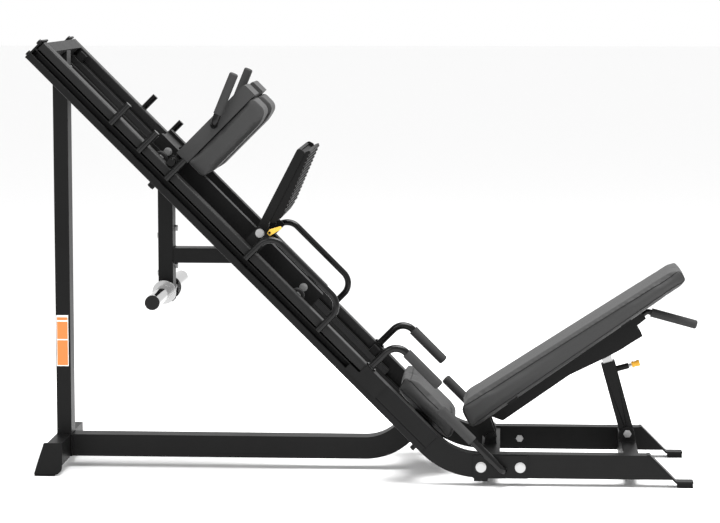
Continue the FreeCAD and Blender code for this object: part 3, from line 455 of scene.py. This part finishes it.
def pop_shaft(work):
    rod_in(work, spot(STRUT, 19, 0, POP_PIN_HEIGHT), spot(STRUT, 76, 0, POP_PIN_HEIGHT), 5)
    for at in (66, 70):
        rod_in(work, spot(STRUT, at, 0, POP_PIN_HEIGHT), spot(STRUT, at + 3, 0, POP_PIN_HEIGHT), 8, 6)


add("pop_pin_knob", mesh_of("pop_pin_knob", pop_knob), AMBER, "strut_pin")
shaft = add("pop_pin_shaft", mesh_of("pop_pin_shaft", pop_shaft), ZINC, "strut_pin", False)
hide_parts("pop_pin")


def is_rear_grip(centre):
    """Faces of the thick rubber sleeve on the rear handle."""
    return centre.x > 0.955


def is_hinge_pin(centre):
    """Faces of the painted backrest hinge pin."""
    return centre.x < 0.5


repaint("rear_handle", GRIP, is_rear_grip)
repaint("pivot_pins", PAINT, is_hinge_pin)


# ---- bolts, welds and labels --------------------------------------------------------------------

def washers(work):
    for side in (-1, 1):
        outer = side * SPLICE_FACE
        for x in SPLICE_BOLTS:
            rod_in(work, Vector((x * MM, outer * MM, 0.063)),
                   Vector((x * MM, (outer + side * 1.8) * MM, 0.063)), 17.5, 40)


add("splice_washers", mesh_of("splice_washers", washers), ZINC, "frame", False)


def carriage_washers(work):
    for side in (-1, 1):
        s, n = FOOT_HINGE
        rod_in(work, spot(RAIL, s, side * BRACKET_FACE, n), spot(RAIL, s, side * (BRACKET_FACE + 1.6), n),
               14.8, 40)
        for s in MEMBER_BOLTS:
            rod_in(work, spot(RAIL, s, side * MEMBER_FACE, MEMBER_BOLT_HEIGHT),
                   spot(RAIL, s, side * (MEMBER_FACE + 1.6), MEMBER_BOLT_HEIGHT), 14, 40)


add("carriage_washers", mesh_of("carriage_washers", carriage_washers), ZINC, "carriage", False)


def welds(work):
    """Beads where the main tubes meet."""
    half = -POST_SIDE * MM
    bottom = 111.5 * MM
    left, right = -1.062, -1.012
    bead(work, [Vector((left, -half, bottom)), Vector((right, -half, bottom)), Vector((right, half, bottom)),
                Vector((left, half, bottom)), Vector((left, -half, bottom))], 2.2)
    for side in (-1, 1):
        for x in (863, 913):
            bead(work, [Vector((x * MM, side * 244.5 * MM, 0.032)),
                        Vector((x * MM, side * 244.5 * MM, 0.103))], 2)
        for x in (392, 452):
            bead(work, [Vector((x * MM, side * 244.5 * MM, 0.047)),
                        Vector((x * MM, side * 244.5 * MM, 0.099))], 2)
        bead(work, [spot(RAIL, 1828, side * 249, 0), spot(RAIL, 1828, side * 291, 0)], 1.8)
        bead(work, [spot(RAIL, 1828, side * 295, -4), spot(RAIL, 1828, side * 295, -76)], 1.8)


def carriage_welds(work):
    half = -POST_SIDE * MM
    bead(work, [Vector((-0.658, -half, 0.704)), Vector((-0.658, half, 0.704)), Vector((-0.658, half, 0.754)),
                Vector((-0.658, -half, 0.754)), Vector((-0.658, -half, 0.704))], 2.2)
    for side in (-1, 1):
        for s, high in ((479, 26), (545, 26), (556, 36), (606, 36)):
            bead(work, [spot(RAIL, s, side * MEMBER_WELD, 8), spot(RAIL, s, side * MEMBER_WELD, high)], 1.8)
        for s in (1190, 1230):
            bead(work, [spot(RAIL, s, side * MEMBER_WELD, -18), spot(RAIL, s, side * MEMBER_WELD, 0)], 1.8)


add("frame_welds", mesh_of("frame_welds", welds), PAINT, "frame")
add("carriage_welds", mesh_of("carriage_welds", carriage_welds), PAINT, "carriage")


def label_base(work):
    box_in(work, ROW, (-1059.5, -37.9, 347), (-1019, -37.4, 522))


def label_panels(work):
    """Blank orange panels, with gaps where a printed label has its lines."""
    for low, high in ((350, 436), (440, 500), (505, 515)):
        box_in(work, ROW, (-1057.5, -38.1, low), (-1021, -37.8, high))


add("post_label_base", mesh_of("post_label_base", label_base), WHITE, "frame", False)
add("post_label_panels", mesh_of("post_label_panels", label_panels), ORANGE, "frame", False)


# ---- studio -------------------------------------------------------------------------------------

ground = bpy.data.meshes.new("studio_floor")
ground.from_pydata([(-30, -20, -0.001), (30, -20, -0.001), (30, 60, -0.001), (-30, 60, -0.001)], [],
                   [(0, 1, 2, 3)])
ground.materials.append(FLOOR)
floor = bpy.data.objects.new("studio_floor", ground)
bpy.context.scene.collection.objects.link(floor)

world = bpy.data.worlds.new("white studio")
world.use_nodes = True
world.node_tree.nodes["Background"].inputs["Color"].default_value = (1, 1, 1, 1)
world.node_tree.nodes["Background"].inputs["Strength"].default_value = 1.0
bpy.context.scene.world = world
bpy.context.scene.view_settings.view_transform = "Standard"


def area_light(name, place, target, size, power):
    light = bpy.data.lights.new(name, "AREA")
    light.shape = "RECTANGLE"
    light.size, light.size_y = size
    light.energy = power
    lamp = bpy.data.objects.new(name, light)
    lamp.location = place
    lamp.rotation_euler = (Vector(target) - Vector(place)).to_track_quat("-Z", "Y").to_euler()
    bpy.context.scene.collection.objects.link(lamp)


area_light("overhead softbox", (0.8, -0.4, 4.2), (0.2, 0, 0.5), (3.5, 2.5), 380)
area_light("front softbox", (-2.5, -5.0, 3.2), (0, 0, 0.7), (2.0, 2.0), 60)

CAMERA_PLACE = Vector((0.476, -8.51, 1.64))
CAMERA_LOOK = Vector((-0.05845, 0.99236, -0.10864))
lens = bpy.data.cameras.new("photo camera")
lens.sensor_width = 36
lens.lens = 126.5
camera = bpy.data.objects.new("photo camera", lens)
camera.location = CAMERA_PLACE
camera.rotation_euler = CAMERA_LOOK.to_track_quat("-Z", "Y").to_euler()
bpy.context.scene.collection.objects.link(camera)
bpy.context.scene.camera = camera
